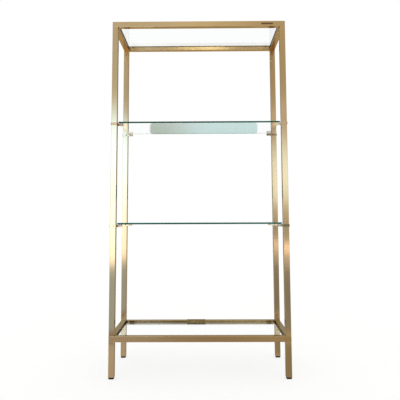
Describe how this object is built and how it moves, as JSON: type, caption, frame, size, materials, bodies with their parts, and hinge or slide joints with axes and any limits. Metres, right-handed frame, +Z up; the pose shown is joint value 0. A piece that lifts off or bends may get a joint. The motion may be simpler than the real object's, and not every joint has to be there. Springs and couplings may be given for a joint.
{
  "type": "etagere",
  "caption": "Tall open display etagere: a slim square-tube frame on short legs holds inset glass panes at top and base, and loose glass shelves on clips between them.",
  "frame": {"origin": "middle of the footprint, on the floor", "axes": "+Z up along the posts, front towards -Y, +X to the right seen from the front"},
  "size_m": [0.905, 0.395, 1.808],
  "materials": {
    "satin_brass": "satin, brushed along the tube, pale gold",
    "clip_brass": "satin, pale gold, a little brighter than the tube",
    "bronze_sheet": "dark bronze, satin",
    "brown_plate": "dark brown lacquer, bare of any text",
    "spigot_steel": "plain, hidden inside the tubes",
    "dark_steel": "blackened",
    "black_plastic": "matte black moulding",
    "clear_vinyl": "clear soft vinyl",
    "glass": "clear float glass with green edges"
  },
  "bodies": {
    "frame": {"blank_plate": "brown_plate", "bottom_pegs": "dark_steel", "bottom_rail_back": "satin_brass", "bottom_rail_front": "satin_brass", "bottom_rail_left": "satin_brass", "bottom_rail_right": "satin_brass", "bottom_spigot_back_left": "spigot_steel", "bottom_spigot_back_right": "spigot_steel", "bottom_spigot_front_left": "spigot_steel", "bottom_spigot_front_right": "spigot_steel", "clip_lower_back_left": "clip_brass", "clip_lower_back_right": "clip_brass", "clip_lower_front_left": "clip_brass", "clip_lower_front_right": "clip_brass", "clip_screws_lower": "dark_steel", "clip_screws_upper": "dark_steel", "clip_upper_back_left": "clip_brass", "clip_upper_back_right": "clip_brass", "clip_upper_front_left": "clip_brass", "clip_upper_front_right": "clip_brass", "cushions_lower": "clear_vinyl", "cushions_upper": "clear_vinyl", "foot_back_left": "black_plastic", "foot_back_right": "black_plastic", "foot_front_left": "black_plastic", "foot_front_right": "black_plastic", "glass_retainer": "bronze_sheet", "leg_back_left": "satin_brass", "leg_back_right": "satin_brass", "leg_front_left": "satin_brass", "leg_front_right": "satin_brass", "post_back_left": "satin_brass", "post_back_right": "satin_brass", "post_front_left": "satin_brass", "post_front_right": "satin_brass", "set_screws_bottom": "dark_steel", "set_screws_top": "dark_steel", "top_pegs": "dark_steel", "top_rail_back": "satin_brass", "top_rail_front": "satin_brass", "top_rail_left": "satin_brass", "top_rail_right": "satin_brass", "top_spigot_back_left": "spigot_steel", "top_spigot_back_right": "spigot_steel", "top_spigot_front_left": "spigot_steel", "top_spigot_front_right": "spigot_steel"},
    "top_pane": {"top_glass": "glass"},
    "upper_shelf": {"upper_shelf_glass": "glass"},
    "lower_shelf": {"lower_shelf_glass": "glass"},
    "base_pane": {"base_glass": "glass"}
  },
  "joints": [
    {"name": "top_glass_lift", "type": "slide", "parent": "frame", "child": "top_pane", "axis": [0, 0, 1], "range_m": [0, 0.06]},
    {"name": "upper_shelf_lift", "type": "slide", "parent": "frame", "child": "upper_shelf", "axis": [0, 0, 1], "range_m": [0, 0.06]},
    {"name": "lower_shelf_lift", "type": "slide", "parent": "frame", "child": "lower_shelf", "axis": [0, 0, 1], "range_m": [0, 0.06]},
    {"name": "base_glass_lift", "type": "slide", "parent": "frame", "child": "base_pane", "axis": [0, 0, 1], "range_m": [0, 0.06]}
  ]
}
